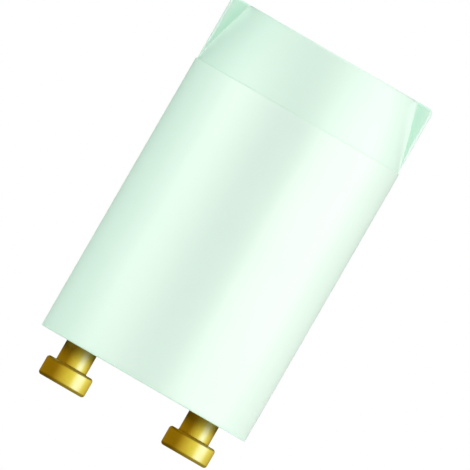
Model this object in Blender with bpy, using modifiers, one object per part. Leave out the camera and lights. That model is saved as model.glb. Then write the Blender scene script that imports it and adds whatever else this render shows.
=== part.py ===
"""Glow starter for fluorescent lamps: a moulded housing closed by a base plate with two riveted contact pins.
Inside it a glow switch bulb and a suppression capacitor are joined to the pins in parallel.
Metres, +Z up. The origin is on the housing's axis, in the plane of the pins' end faces."""

import math

import bmesh
import bpy
from mathutils import Matrix, Vector

# Contact pins, as a starter holder needs them
PIN_SPACING = 0.0127
PIN_MARGIN = 0.0042
PIN_HEAD_DIAMETER = 0.0047
PIN_HEAD_THICKNESS = 0.00192
PIN_HEAD_ROUNDING = 0.0003
PIN_NECK_DIAMETER = 0.00307
PIN_PROJECTION = 0.00388
PIN_SHANK_WALL = 0.0004
PIN_BORE_SPARE_DEPTH = 0.0012
RIVET_DIAMETER = 0.0036
RIVET_THICKNESS = 0.0005
RIVET_SEAT_DEPTH = 0.0002
RIVET_SEAT_GAP = 0.0002

# Housing: a straight barrel, a small ledge and a conical grip with two fins
BARREL_DIAMETER = PIN_SPACING + 2 * PIN_MARGIN
BARREL_LENGTH = 0.0278
LEDGE_STEP = 0.00012
LEDGE_ROUNDING = 0.00004
GRIP_HEIGHT = 0.0065
GRIP_TOP_DIAMETER = 0.01732
GRIP_BULGE = 0.00011
WALL = 0.0011
TOP_ROUNDING = 0.00025
RIM_ROUNDING = 0.00012
FIN_THICKNESS = 0.002
FIN_CORNER_RADIUS = 0.0005
FIN_EDGE_ROUNDING = 0.0003

# Mouth of the housing, where the base plate snaps in
SEAT_DEPTH = 0.0003
PLATE_RECESS = 0.0007
SNAP_BEAD_HEIGHT = 0.0002
SNAP_BEAD_RADIUS = 0.0002

# Base plate
PLATE_THICKNESS = 0.0015
PLATE_EDGE_CHAMFER = 0.0002
SPIGOT_HEIGHT = 0.0015
SPIGOT_WALL = 0.0008

# Glow switch bulb
BULB_DIAMETER = 0.0076
BULB_LENGTH = 0.0190
BULB_WALL = 0.0006
BULB_TIP_LENGTH = 0.0020
BULB_TIP_DIAMETER = 0.0020
BULB_TIP_END_DIAMETER = 0.0010
BULB_OFFSET = 0.0034
BULB_LIFT = 0.0028
STEM_TUBE_DIAMETER = 0.0046
STEM_TUBE_BORE = 0.0034
STEM_TUBE_HEIGHT = 0.0030
STEM_FLARE_HEIGHT = 0.0018
PINCH_WIDTH = 0.0046
PINCH_THICKNESS = 0.0016
PINCH_HEIGHT = 0.0030
PINCH_ROUNDING = 0.0004

# Electrodes inside the bulb
ELECTRODE_SPACING = 0.0026
ELECTRODE_DIAMETER = 0.0005
ELECTRODE_LENGTH = 0.0045
STRIP_THICKNESS = 0.0002
STRIP_WIDTH = 0.0020
STRIP_RISE = 0.0055
STRIP_FREE_LEG = 0.0032
CONTACT_GAP = 0.00035
POST_LENGTH = 0.0020

# Suppression capacitor
CAPACITOR_WIDTH = 0.0060
CAPACITOR_DEPTH = 0.0040
CAPACITOR_HEIGHT = 0.0110
CAPACITOR_ROUNDING = 0.0007
CAPACITOR_OFFSET = 0.0046
CAPACITOR_LIFT = 0.0030
CAPACITOR_LEAD_SPACING = 0.0025
CAPACITOR_LEAD_ENTRY = 0.0012

# Lead wires and solder
LEAD_DIAMETER = 0.0004
LEAD_BEND_RADIUS = 0.0005
LEAD_PAIR_GAP = 0.0001
LEAD_BORE_GAP = 0.00025
LEAD_DEPTH_IN_PIN = 0.0022
CROSSING_OFFSET = 0.0013
CROSSING_HEIGHT = 0.0018
LEAD_SWAY = 0.0013
SOLDER_DIAMETER = 0.0026
SOLDER_HEIGHT = 0.0007

# Clearances
FIT_GAP = 0.0001
WIRE_GAP = 0.00008
CUT_MARGIN = 0.001

# Fineness of the round work
BARREL_STEPS = 72
PIN_STEPS = 32
GLASS_STEPS = 32
ROD_SIDES = 16
WIRE_HOLE_SIDES = 12
ARC_STEPS = 4
DOME_STEPS = 8
BEND_STEPS = 4
GRIP_SIDE_STEPS = 5
ROUNDING_SEGMENTS = 3
MOST_BEND_SHARE = 0.45
SHARP_ANGLE = math.radians(35)
FLAT_ANGLE = math.radians(1)
MERGE_DISTANCE = 0.000005

# Sizes that follow from the lead wires
LEAD_PAIR_PITCH = LEAD_DIAMETER + LEAD_PAIR_GAP
WIRE_HOLE_DIAMETER = LEAD_DIAMETER + 2 * WIRE_GAP
PIN_BORE_DIAMETER = LEAD_DIAMETER + LEAD_PAIR_PITCH + 2 * LEAD_BORE_GAP
PIN_BORE_DEPTH = LEAD_DEPTH_IN_PIN + PIN_BORE_SPARE_DEPTH
PIN_SHANK_DIAMETER = PIN_BORE_DIAMETER + 2 * PIN_SHANK_WALL

# Heights that follow from the sizes above
RIM_Z = PIN_PROJECTION
LEDGE_Z = RIM_Z + BARREL_LENGTH
TOP_Z = LEDGE_Z + GRIP_HEIGHT
PLATE_Z = RIM_Z + PLATE_RECESS
PLATE_TOP_Z = PLATE_Z + PLATE_THICKNESS
SPIGOT_TOP_Z = PLATE_TOP_Z + SPIGOT_HEIGHT
RIVET_SEAT_Z = PLATE_TOP_Z - RIVET_SEAT_DEPTH
RIVET_Z = RIVET_SEAT_Z + FIT_GAP
PIN_TOP_Z = RIVET_Z + RIVET_THICKNESS
BULB_Z = PIN_TOP_Z + BULB_LIFT
PINCH_Z = BULB_Z + STEM_TUBE_HEIGHT
PINCH_TOP_Z = PINCH_Z + PINCH_HEIGHT
CAPACITOR_Z = PIN_TOP_Z + CAPACITOR_LIFT
CROSSING_Z = PIN_TOP_Z + CROSSING_HEIGHT

# Radii and places that follow
BARREL_RADIUS = BARREL_DIAMETER / 2
GRIP_RADIUS = BARREL_RADIUS - LEDGE_STEP
CAVITY_RADIUS = BARREL_RADIUS - WALL
MOUTH_RADIUS = CAVITY_RADIUS + SEAT_DEPTH
BULB_X = -BULB_OFFSET
POST_X = BULB_X - ELECTRODE_SPACING / 2
ELECTRODE_X = BULB_X + ELECTRODE_SPACING / 2
SIDES = {"left": -1, "right": 1}


def start_clean():
    """Removes what the scene holds and returns the collections for the parts and for their cutters."""
    for obj in list(bpy.data.objects):
        bpy.data.objects.remove(obj, do_unlink=True)
    folders = []
    for name in ("lamp_starter", "cutters"):
        folder = bpy.data.collections.new(name)
        bpy.context.scene.collection.children.link(folder)
        folders.append(folder)
    return folders


def finish(name, colour, roughness, metallic=0.0, transmission=0.0):
    """A Principled material of one colour."""
    made = bpy.data.materials.new(name)
    made.use_nodes = True
    made.diffuse_color = (*colour, 1.0)
    shader = made.node_tree.nodes["Principled BSDF"]
    shader.inputs["Base Color"].default_value = (*colour, 1.0)
    shader.inputs["Roughness"].default_value = roughness
    shader.inputs["Metallic"].default_value = metallic
    shader.inputs["Transmission Weight"].default_value = transmission
    return made


def placed(name, data, folder, material=None):
    """Links a new object that holds the mesh or curve."""
    obj = bpy.data.objects.new(name, data)
    folder.objects.link(obj)
    if material:
        data.materials.append(material)
    return obj


def arc(centre, radius, start, end, steps=ARC_STEPS):
    """Points of an arc in the (r, z) plane, with its angles in degrees."""
    angles = [math.radians(start + (end - start) * i / steps) for i in range(steps + 1)]
    return [(centre[0] + radius * math.cos(a), centre[1] + radius * math.sin(a)) for a in angles]


def rounded(corners, steps=ARC_STEPS):
    """A path of (x, y, radius) corners, each with a radius turned into an arc."""
    path = []
    for i, (x, y, radius) in enumerate(corners):
        here = Vector((x, y))
        if not radius or i in (0, len(corners) - 1):
            path.append((x, y))
            continue
        before = (Vector(corners[i - 1][:2]) - here).normalized()
        after = (Vector(corners[i + 1][:2]) - here).normalized()
        half = before.angle(after) / 2
        centre = here + (before + after).normalized() * radius / math.sin(half)
        first = here + before * radius / math.tan(half) - centre
        last = here + after * radius / math.tan(half) - centre
        turn = first.angle_signed(last)
        for k in range(steps + 1):
            spoke = Matrix.Rotation(-turn * k / steps, 2) @ first
            path.append(tuple(centre + spoke))
    return path


def turned(name, profile, folder, material=None, steps=BARREL_STEPS, place=(0, 0)):
    """A profile of (r, z) points, run from the top down its outer side, screwed about a vertical axis."""
    mesh = bpy.data.meshes.new(name)
    edges = [(i, i + 1) for i in range(len(profile) - 1)]
    if profile[0][0] > 0:
        edges.append((len(profile) - 1, 0))
    mesh.from_pydata([(r, 0, z) for r, z in profile], edges, [])
    obj = placed(name, mesh, folder, material)
    obj.location = (*place, 0)
    screw = obj.modifiers.new("turn", "SCREW")
    screw.axis = "Z"
    screw.angle = 2 * math.pi
    screw.steps = screw.render_steps = steps
    screw.use_merge_vertices = True
    screw.merge_threshold = MERGE_DISTANCE
    return obj


def block(name, size, centre, folder, material=None):
    """A box from its size and centre."""
    mesh = bpy.data.meshes.new(name)
    body = bmesh.new()
    bmesh.ops.create_cube(body, size=1)
    bmesh.ops.scale(body, vec=size, verts=body.verts)
    body.to_mesh(mesh)
    body.free()
    obj = placed(name, mesh, folder, material)
    obj.location = centre
    return obj


def rod(name, diameter, low, high, place, folder, material=None, sides=ROD_SIDES):
    """A vertical round rod from height low to height high."""
    mesh = bpy.data.meshes.new(name)
    body = bmesh.new()
    bmesh.ops.create_cone(
        body, cap_ends=True, segments=sides, radius1=diameter / 2, radius2=diameter / 2, depth=high - low
    )
    body.to_mesh(mesh)
    body.free()
    obj = placed(name, mesh, folder, material)
    obj.location = (*place, (low + high) / 2)
    return obj


def plate(name, outline, thickness, folder, material=None, upright=False):
    """A flat closed outline as a solid of even thickness: lying in XY, or standing in XZ."""
    flat = bpy.data.curves.new(name + "_outline", "CURVE")
    flat.dimensions = "2D"
    flat.fill_mode = "BOTH"
    flat.extrude = thickness / 2
    line = flat.splines.new("POLY")
    line.points.add(len(outline) - 1)
    for point, (x, y) in zip(line.points, outline):
        point.co = (x, y, 0, 1)
    line.use_cyclic_u = True
    guide = placed(name + "_outline", flat, folder)
    if upright:
        guide.rotation_euler = (math.radians(90), 0, 0)
    obj = as_mesh(guide, name, folder)
    if material:
        obj.data.materials.append(material)
    return obj


def as_mesh(curve_object, name, folder):
    """Turns a curve object into a welded mesh object in its place."""
    bpy.context.view_layer.update()
    graph = bpy.context.evaluated_depsgraph_get()
    mesh = bpy.data.meshes.new_from_object(curve_object.evaluated_get(graph))
    mesh.name = name
    body = bmesh.new()
    body.from_mesh(mesh)
    bmesh.ops.remove_doubles(body, verts=body.verts, dist=MERGE_DISTANCE)
    bmesh.ops.dissolve_limit(body, angle_limit=FLAT_ANGLE, verts=body.verts, edges=body.edges)
    bmesh.ops.recalc_face_normals(body, faces=body.faces)
    body.to_mesh(mesh)
    body.free()
    obj = placed(name, mesh, folder)
    obj.matrix_world = curve_object.matrix_world
    bpy.data.objects.remove(curve_object, do_unlink=True)
    return obj


def bevelled(obj, width):
    """Rounds the sharp edges."""
    bevel = obj.modifiers.new("rounding", "BEVEL")
    bevel.width = width
    bevel.segments = ROUNDING_SEGMENTS
    bevel.limit_method = "ANGLE"
    bevel.angle_limit = SHARP_ANGLE
    return obj


def boolean(target, tool, operation):
    """Cuts the tool from the target, or joins it to the target, and hides the tool."""
    step = target.modifiers.new(f"{operation.lower()} {tool.name}", "BOOLEAN")
    step.solver = "EXACT"
    step.operation = operation
    step.object = tool
    tool.hide_render = True
    tool.display_type = "WIRE"
    return target


def settled(obj):
    """Applies the modifiers and shades the round faces smooth, with sharp edges kept."""
    bpy.context.view_layer.update()
    graph = bpy.context.evaluated_depsgraph_get()
    mesh = bpy.data.meshes.new_from_object(obj.evaluated_get(graph))
    mesh.name = obj.name
    obj.modifiers.clear()
    obj.data = mesh
    mesh.shade_smooth()
    mesh.set_sharp_from_angle(angle=SHARP_ANGLE)
    return obj


def bent_wire(name, corners, diameter, folder, material):
    """A stiff round wire through its corners, each bent to one radius."""
    path = [Vector(corners[0])]
    for before, here, after in zip(corners, corners[1:], corners[2:]):
        here = Vector(here)
        back = Vector(before) - here
        onward = Vector(after) - here
        reach = min(LEAD_BEND_RADIUS, back.length * MOST_BEND_SHARE, onward.length * MOST_BEND_SHARE)
        start = here + back.normalized() * reach
        end = here + onward.normalized() * reach
        for k in range(BEND_STEPS + 1):
            t = k / BEND_STEPS
            path.append(start * (1 - t) ** 2 + here * 2 * t * (1 - t) + end * t**2)
    path.append(Vector(corners[-1]))
    curve = bpy.data.curves.new(name, "CURVE")
    curve.dimensions = "3D"
    curve.bevel_depth = diameter / 2
    curve.bevel_resolution = 2
    curve.use_fill_caps = True
    line = curve.splines.new("POLY")
    line.points.add(len(path) - 1)
    for point, place in zip(line.points, path):
        point.co = (*place, 1)
    return placed(name, curve, folder, material)


def bulged(low, high, bulge, steps):
    """Points from one (r, z) point to another on a line that bows outwards a little in the middle."""
    points = []
    for i in range(steps + 1):
        t = i / steps
        out = bulge * math.sin(math.pi * t)
        points.append((low[0] + (high[0] - low[0]) * t + out, low[1] + (high[1] - low[1]) * t))
    return points


def make_housing(parts, cutters, material):
    """Moulded cap: barrel, ledge, conical grip with two fins, seat and snap bead for the base plate."""
    grip_top = GRIP_TOP_DIAMETER / 2
    grip_side = bulged((grip_top, TOP_Z), (GRIP_RADIUS, LEDGE_Z), GRIP_BULGE, GRIP_SIDE_STEPS)[1:]
    outer = rounded([(0, TOP_Z, 0), (grip_top, TOP_Z, TOP_ROUNDING), (*grip_side[0], 0)])
    outer += grip_side[1:]
    ledge = [(GRIP_RADIUS, LEDGE_Z, 0), (BARREL_RADIUS, LEDGE_Z, LEDGE_ROUNDING), (BARREL_RADIUS, RIM_Z, 0)]
    outer += rounded(ledge)[1:-1]
    bead_z = PLATE_Z - FIT_GAP - SNAP_BEAD_RADIUS
    rim = rounded(
        [
            (BARREL_RADIUS, LEDGE_Z, 0),
            (BARREL_RADIUS, RIM_Z, RIM_ROUNDING),
            (MOUTH_RADIUS, RIM_Z, RIM_ROUNDING),
            (MOUTH_RADIUS, bead_z, 0),
        ]
    )[1:-1]
    bead = [
        (MOUTH_RADIUS - SNAP_BEAD_HEIGHT * math.sin(a), bead_z - SNAP_BEAD_RADIUS * math.cos(a))
        for a in (math.pi * i / ARC_STEPS for i in range(ARC_STEPS + 1))
    ]
    seat_z = PLATE_TOP_Z + FIT_GAP
    inner = [
        (MOUTH_RADIUS, seat_z),
        (CAVITY_RADIUS, seat_z),
        (CAVITY_RADIUS, LEDGE_Z - WALL / 2),
        (grip_top - WALL, TOP_Z - WALL),
        (0, TOP_Z - WALL),
    ]
    housing = turned("housing", outer + rim + bead + inner, parts, material)
    for word, side in SIDES.items():
        corners = [
            (grip_top - WALL / 2, TOP_Z, 0),
            (CAVITY_RADIUS + FIT_GAP, LEDGE_Z - WALL / 2, 0),
            (GRIP_RADIUS, LEDGE_Z - WALL / 2, 0),
            (GRIP_RADIUS, TOP_Z, FIN_CORNER_RADIUS),
            (grip_top - WALL / 2, TOP_Z, 0),
        ]
        outline = [(side * x, z) for x, z in rounded(corners)[:-1]]
        fin = plate(f"{word}_fin", outline, FIN_THICKNESS, cutters, upright=True)
        boolean(housing, bevelled(fin, FIN_EDGE_ROUNDING), "UNION")
    return settled(housing)


def make_base_plate(parts, cutters, material):
    """Disc that snaps into the mouth, with a spigot ring, and a hole and a rivet seat for each pin."""
    flange = MOUTH_RADIUS - FIT_GAP
    spigot = CAVITY_RADIUS - FIT_GAP
    corners = [
        (0, PLATE_TOP_Z, 0),
        (spigot - SPIGOT_WALL, PLATE_TOP_Z, 0),
        (spigot - SPIGOT_WALL, SPIGOT_TOP_Z, 0),
        (spigot - PLATE_EDGE_CHAMFER, SPIGOT_TOP_Z, 0),
        (spigot, SPIGOT_TOP_Z - PLATE_EDGE_CHAMFER, 0),
        (spigot, PLATE_TOP_Z, 0),
        (flange, PLATE_TOP_Z, 0),
        (flange, PLATE_Z + PLATE_EDGE_CHAMFER, 0),
        (flange - PLATE_EDGE_CHAMFER, PLATE_Z, 0),
        (0, PLATE_Z, 0),
    ]
    base = turned("base_plate", rounded(corners), parts, material)
    cuts = {
        "pin_hole": (PIN_SHANK_DIAMETER + 2 * FIT_GAP, PLATE_Z - CUT_MARGIN, PLATE_TOP_Z + CUT_MARGIN),
        "rivet_seat": (RIVET_DIAMETER + 2 * RIVET_SEAT_GAP, RIVET_SEAT_Z, SPIGOT_TOP_Z + CUT_MARGIN),
    }
    for word, side in SIDES.items():
        place = (side * PIN_SPACING / 2, 0)
        for label, (diameter, low, high) in cuts.items():
            cutter = rod(f"{word}_{label}", diameter, low, high, place, cutters, sides=PIN_STEPS)
            boolean(base, cutter, "DIFFERENCE")
    return settled(base)


def make_pins(parts, material):
    """Turned brass pins: round head, neck, and a bored shank riveted over on the base plate."""
    head = PIN_HEAD_DIAMETER / 2
    neck = PIN_NECK_DIAMETER / 2
    shank = PIN_SHANK_DIAMETER / 2
    bore = PIN_BORE_DIAMETER / 2
    shoulder_z = PLATE_Z - FIT_GAP
    corners = [
        (0, PIN_TOP_Z - PIN_BORE_DEPTH, 0),
        (bore, PIN_TOP_Z - PIN_BORE_DEPTH, 0),
        (bore, PIN_TOP_Z, 0),
        (RIVET_DIAMETER / 2, PIN_TOP_Z, RIVET_THICKNESS / 2),
        (RIVET_DIAMETER / 2, RIVET_Z, 0),
        (shank, RIVET_Z, 0),
        (shank, shoulder_z, 0),
        (neck, shoulder_z, 0),
        (neck, PIN_HEAD_THICKNESS, 0),
        (head, PIN_HEAD_THICKNESS, PIN_HEAD_ROUNDING),
        (head, 0, PIN_HEAD_ROUNDING),
        (0, 0, 0),
    ]
    for word, side in SIDES.items():
        place = (side * PIN_SPACING / 2, 0)
        settled(turned(f"contact_pin_{word}", rounded(corners), parts, material, PIN_STEPS, place))


def make_solder(parts, cutters, material):
    """Solder domes on the pins' riveted ends, with the two lead wires of each pin passing through."""
    low = PIN_TOP_Z + WIRE_GAP
    radius = SOLDER_DIAMETER / 2
    dome = [
        (radius * math.sin(a), low + SOLDER_HEIGHT * math.cos(a))
        for a in (math.pi / 2 * i / DOME_STEPS for i in range(DOME_STEPS + 1))
    ]
    for word, side in SIDES.items():
        place = (side * PIN_SPACING / 2, 0)
        solder = turned(f"solder_{word}", dome + [(0, low)], parts, material, PIN_STEPS, place)
        slot = stadium(WIRE_HOLE_DIAMETER, WIRE_HOLE_DIAMETER + LEAD_PAIR_PITCH)
        cutter = plate(f"{word}_lead_slot", slot, 2 * (SOLDER_HEIGHT + CUT_MARGIN), cutters)
        cutter.location = (*place, low)
        boolean(solder, cutter, "DIFFERENCE")
        settled(solder)


def stadium(width, length):
    """A closed outline with round ends: width along X and length along Y."""
    radius = width / 2
    offset = (length - width) / 2
    upper = arc((0, offset), radius, 0, 180, DOME_STEPS)
    lower = arc((0, -offset), radius, 180, 360, DOME_STEPS)
    return upper + lower


def make_bulb(parts, cutters, glass):
    """Blown envelope with its sealed-off tip, and the flared stem whose pinch carries the electrodes."""
    outer = BULB_DIAMETER / 2
    inner = outer - BULB_WALL
    tip = BULB_TIP_DIAMETER / 2
    envelope_z = BULB_Z + BULB_WALL + WIRE_GAP
    shoulder_z = BULB_Z + BULB_LENGTH - BULB_TIP_LENGTH - outer
    dome_top_z = shoulder_z + outer
    tip_angle = math.degrees(math.asin(tip / outer))
    dome = arc((0, shoulder_z), outer, 90 - tip_angle, 0, DOME_STEPS)
    tip_z = dome_top_z + BULB_TIP_LENGTH
    tip_end = BULB_TIP_END_DIAMETER / 2
    profile = rounded([(0, tip_z, 0), (tip_end, tip_z, tip_end / 2), (*dome[0], 0)])[:-1] + dome
    profile += [(outer, envelope_z), (inner, envelope_z)]
    profile += arc((0, shoulder_z), inner, 0, 90, DOME_STEPS)[:-1] + [(0, shoulder_z + inner)]
    settled(turned("glow_bulb_envelope", profile, parts, glass, GLASS_STEPS, (BULB_X, 0)))

    tube = STEM_TUBE_DIAMETER / 2
    bore = STEM_TUBE_BORE / 2
    corners = [
        (0, PINCH_Z + PINCH_ROUNDING, 0),
        (tube, PINCH_Z + PINCH_ROUNDING, 0),
        (tube, BULB_Z + STEM_FLARE_HEIGHT, BULB_WALL),
        (inner - WIRE_GAP, BULB_Z + BULB_WALL, 0),
        (outer, BULB_Z + BULB_WALL, 0),
        (outer, BULB_Z, 0),
        (tube, BULB_Z + BULB_WALL, 0),
        (bore, BULB_Z + STEM_FLARE_HEIGHT - BULB_WALL, 0),
        (bore, PINCH_Z - BULB_WALL, 0),
        (0, PINCH_Z - BULB_WALL, 0),
    ]
    stem = turned("glow_bulb_stem", rounded(corners), parts, glass, GLASS_STEPS, (BULB_X, 0))
    press = block(
        "pinch_press",
        (PINCH_WIDTH, PINCH_THICKNESS, PINCH_HEIGHT + BULB_WALL / 2),
        (BULB_X, 0, (PINCH_Z - BULB_WALL / 2 + PINCH_TOP_Z) / 2),
        cutters,
    )
    boolean(stem, bevelled(press, PINCH_ROUNDING), "UNION")
    for word, place in (("post", POST_X), ("electrode", ELECTRODE_X)):
        hole = rod(
            f"{word}_lead_hole",
            WIRE_HOLE_DIAMETER,
            BULB_Z - CUT_MARGIN,
            PINCH_TOP_Z + CUT_MARGIN,
            (place, 0),
            cutters,
            sides=WIRE_HOLE_SIDES,
        )
        boolean(stem, hole, "DIFFERENCE")
    return settled(stem)


def make_electrodes(parts, metal, bimetal):
    """Fixed electrode rod, and the bimetal strip that hooks over from the other lead to face it."""
    foot = PINCH_TOP_Z + WIRE_GAP
    electrode_low = foot + LEAD_DIAMETER + WIRE_GAP
    settled(
        rod(
            "fixed_electrode",
            ELECTRODE_DIAMETER,
            electrode_low,
            electrode_low + ELECTRODE_LENGTH,
            (ELECTRODE_X, 0),
            parts,
            metal,
        )
    )
    fixed_x = POST_X + LEAD_DIAMETER / 2 + WIRE_GAP + STRIP_THICKNESS / 2
    free_x = ELECTRODE_X - ELECTRODE_DIAMETER / 2 - CONTACT_GAP - STRIP_THICKNESS / 2
    bow = (free_x - fixed_x) / 2
    crown_z = foot + STRIP_RISE
    path = [(fixed_x, foot)]
    path += arc((fixed_x + bow, crown_z), bow, 180, 0, DOME_STEPS)
    path += [(free_x, crown_z - STRIP_FREE_LEG)]
    mesh = bpy.data.meshes.new("bimetal_strip")
    body = bmesh.new()
    verts = [body.verts.new((x, -STRIP_WIDTH / 2, z)) for x, z in path]
    edges = [body.edges.new(pair) for pair in zip(verts, verts[1:])]
    swept = bmesh.ops.extrude_edge_only(body, edges=edges)["geom"]
    moved = [item for item in swept if isinstance(item, bmesh.types.BMVert)]
    bmesh.ops.translate(body, vec=(0, STRIP_WIDTH, 0), verts=moved)
    body.to_mesh(mesh)
    body.free()
    strip = placed("bimetal_strip", mesh, parts, bimetal)
    thick = strip.modifiers.new("thickness", "SOLIDIFY")
    thick.thickness = STRIP_THICKNESS
    thick.offset = 0
    thick.use_even_offset = True
    return settled(strip)


def make_capacitor(parts, cutters, material):
    """Wound film capacitor in a flattened round body, with a socket for each lead."""
    outline = [(y, x) for x, y in stadium(CAPACITOR_DEPTH, CAPACITOR_WIDTH)]
    outline.reverse()
    body = plate("capacitor_body", outline, CAPACITOR_HEIGHT, parts, material)
    body.location = (CAPACITOR_OFFSET, 0, CAPACITOR_Z + CAPACITOR_HEIGHT / 2)
    bevelled(body, CAPACITOR_ROUNDING)
    for word, side in SIDES.items():
        socket = rod(
            f"{word}_capacitor_socket",
            WIRE_HOLE_DIAMETER,
            CAPACITOR_Z - CUT_MARGIN,
            CAPACITOR_Z + CAPACITOR_LEAD_ENTRY + WIRE_GAP,
            (CAPACITOR_OFFSET + side * CAPACITOR_LEAD_SPACING / 2, 0),
            cutters,
            sides=WIRE_HOLE_SIDES,
        )
        boolean(body, socket, "DIFFERENCE")
    return settled(body)


def make_leads(parts, material):
    """Four stiff leads: each pin's bore takes one from the bulb and one from the capacitor."""
    left = -PIN_SPACING / 2
    right = PIN_SPACING / 2
    beside = LEAD_PAIR_PITCH / 2
    low = PIN_TOP_Z - LEAD_DEPTH_IN_PIN
    turn_z = CROSSING_Z - LEAD_BEND_RADIUS / 2
    drop_z = BULB_Z - LEAD_BEND_RADIUS
    near = CAPACITOR_OFFSET - CAPACITOR_LEAD_SPACING / 2
    far = CAPACITOR_OFFSET + CAPACITOR_LEAD_SPACING / 2
    entry_z = CAPACITOR_Z + CAPACITOR_LEAD_ENTRY
    routes = {
        "bulb_lead_left": [
            (POST_X, 0, PINCH_TOP_Z + POST_LENGTH),
            (POST_X, 0, drop_z),
            (left, beside, turn_z),
            (left, beside, low),
        ],
        "bulb_lead_right": [
            (ELECTRODE_X, 0, PINCH_TOP_Z + LEAD_DIAMETER),
            (ELECTRODE_X, 0, drop_z),
            (ELECTRODE_X + LEAD_SWAY, CROSSING_OFFSET, CROSSING_Z),
            (right - LEAD_SWAY, CROSSING_OFFSET, CROSSING_Z),
            (right, beside, turn_z),
            (right, beside, low),
        ],
        "capacitor_lead_left": [
            (near, 0, entry_z),
            (near, 0, CAPACITOR_Z - LEAD_BEND_RADIUS),
            (near - LEAD_SWAY, -CROSSING_OFFSET, CROSSING_Z),
            (left + LEAD_SWAY, -CROSSING_OFFSET, CROSSING_Z),
            (left, -beside, turn_z),
            (left, -beside, low),
        ],
        "capacitor_lead_right": [
            (far, 0, entry_z),
            (far, 0, CAPACITOR_Z - LEAD_BEND_RADIUS),
            (right, -beside, turn_z),
            (right, -beside, low),
        ],
    }
    for name, corners in routes.items():
        bent_wire(name, corners, LEAD_DIAMETER, parts, material)


def main():
    """Builds the starter."""
    parts, cutters = start_clean()
    housing = finish("moulded_housing", (0.82, 0.93, 0.86), 0.32)
    base = finish("moulded_base", (0.78, 0.85, 0.80), 0.5)
    brass = finish("brass", (0.72, 0.53, 0.16), 0.28, metallic=1.0)
    glass = finish("clear_glass", (0.9, 0.93, 0.92), 0.05, transmission=1.0)
    metal = finish("nickel_wire", (0.66, 0.64, 0.6), 0.3, metallic=1.0)
    bimetal = finish("bimetal", (0.55, 0.53, 0.5), 0.35, metallic=1.0)
    tin = finish("tin_solder", (0.72, 0.73, 0.74), 0.3, metallic=1.0)
    film = finish("capacitor_film", (0.75, 0.55, 0.2), 0.4)
    make_housing(parts, cutters, housing)
    make_base_plate(parts, cutters, base)
    make_pins(parts, brass)
    make_solder(parts, cutters, tin)
    make_bulb(parts, cutters, glass)
    make_electrodes(parts, metal, bimetal)
    make_capacitor(parts, cutters, film)
    make_leads(parts, metal)


main()
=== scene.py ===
"""Looks of a glow starter for fluorescent lamps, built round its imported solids.

The moulded housing, its base plate and the two turned contact pins are made again as fine meshes. The
switch and the capacitor inside keep their solids and get their finishes here. Metres, +Z up, in the frame
of the solids.
"""

import logging
import math
from abc import ABC, abstractmethod
from collections.abc import Iterable, Iterator, Mapping, Sequence
from contextlib import contextmanager
from dataclasses import dataclass, replace
from enum import Enum
from typing import Any, NamedTuple

import bmesh
import bpy
from bmesh.types import BMesh, BMVert
from bpy.types import ID, Material, Mesh, NodeSocket, Object, World
from mathutils import Matrix, Vector


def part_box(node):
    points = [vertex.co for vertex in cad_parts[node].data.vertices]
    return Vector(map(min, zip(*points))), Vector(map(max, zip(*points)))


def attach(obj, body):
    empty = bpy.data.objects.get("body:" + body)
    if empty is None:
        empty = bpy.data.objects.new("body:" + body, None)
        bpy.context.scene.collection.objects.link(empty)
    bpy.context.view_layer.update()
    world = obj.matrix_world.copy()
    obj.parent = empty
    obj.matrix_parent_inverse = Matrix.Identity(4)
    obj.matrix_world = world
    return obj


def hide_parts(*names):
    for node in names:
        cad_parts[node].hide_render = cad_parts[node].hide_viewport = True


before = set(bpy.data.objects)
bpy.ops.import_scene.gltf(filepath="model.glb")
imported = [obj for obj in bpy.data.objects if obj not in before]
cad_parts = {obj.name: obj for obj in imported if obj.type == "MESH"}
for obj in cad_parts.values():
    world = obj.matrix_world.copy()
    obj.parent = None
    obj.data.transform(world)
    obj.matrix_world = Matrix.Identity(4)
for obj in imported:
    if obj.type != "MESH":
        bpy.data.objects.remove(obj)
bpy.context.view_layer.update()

MM = 0.001
BODY = "root"
# Edges that turn more than the first stay sharp. Faces that turn less than the second are joined.
SHARP_ANGLE = math.radians(38)
FLAT_ANGLE = math.radians(1)
# Azimuths run from the front, which stands at this angle, in degrees, from +X.
FRONT = -90
# The seat in the housing and the base plate share this size.
PLATE_THICKNESS = 1.5 * MM
log = logging.getLogger("glow_starter")


class Slot(Enum):
    """The record's material slots."""

    HOUSING = "moulded_housing"
    BASE = "moulded_base"
    BRASS = "brass"
    SOLDER = "tin_solder"
    GLASS = "clear_glass"
    BIMETAL = "bimetal"
    WIRE = "nickel_wire"
    FILM = "capacitor_film"


class Side(Enum):
    """The two sides of the starter, as the sign of X."""

    LEFT = -1
    RIGHT = 1

    @property
    def word(self) -> str:
        """The side's name as it stands in the names of nodes."""
        return self.name.lower()


class Corner(NamedTuple):
    """A corner of a turned profile: its radius from the axis, its height and how far it is rounded."""

    r: float
    z: float
    rounding: float = 0.0


Point = tuple[float, float]
Ring = list[Vector]
Colour = tuple[float, float, float]
Inputs = dict[str, Any]
WHITE: Colour = (1.0, 1.0, 1.0)


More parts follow.
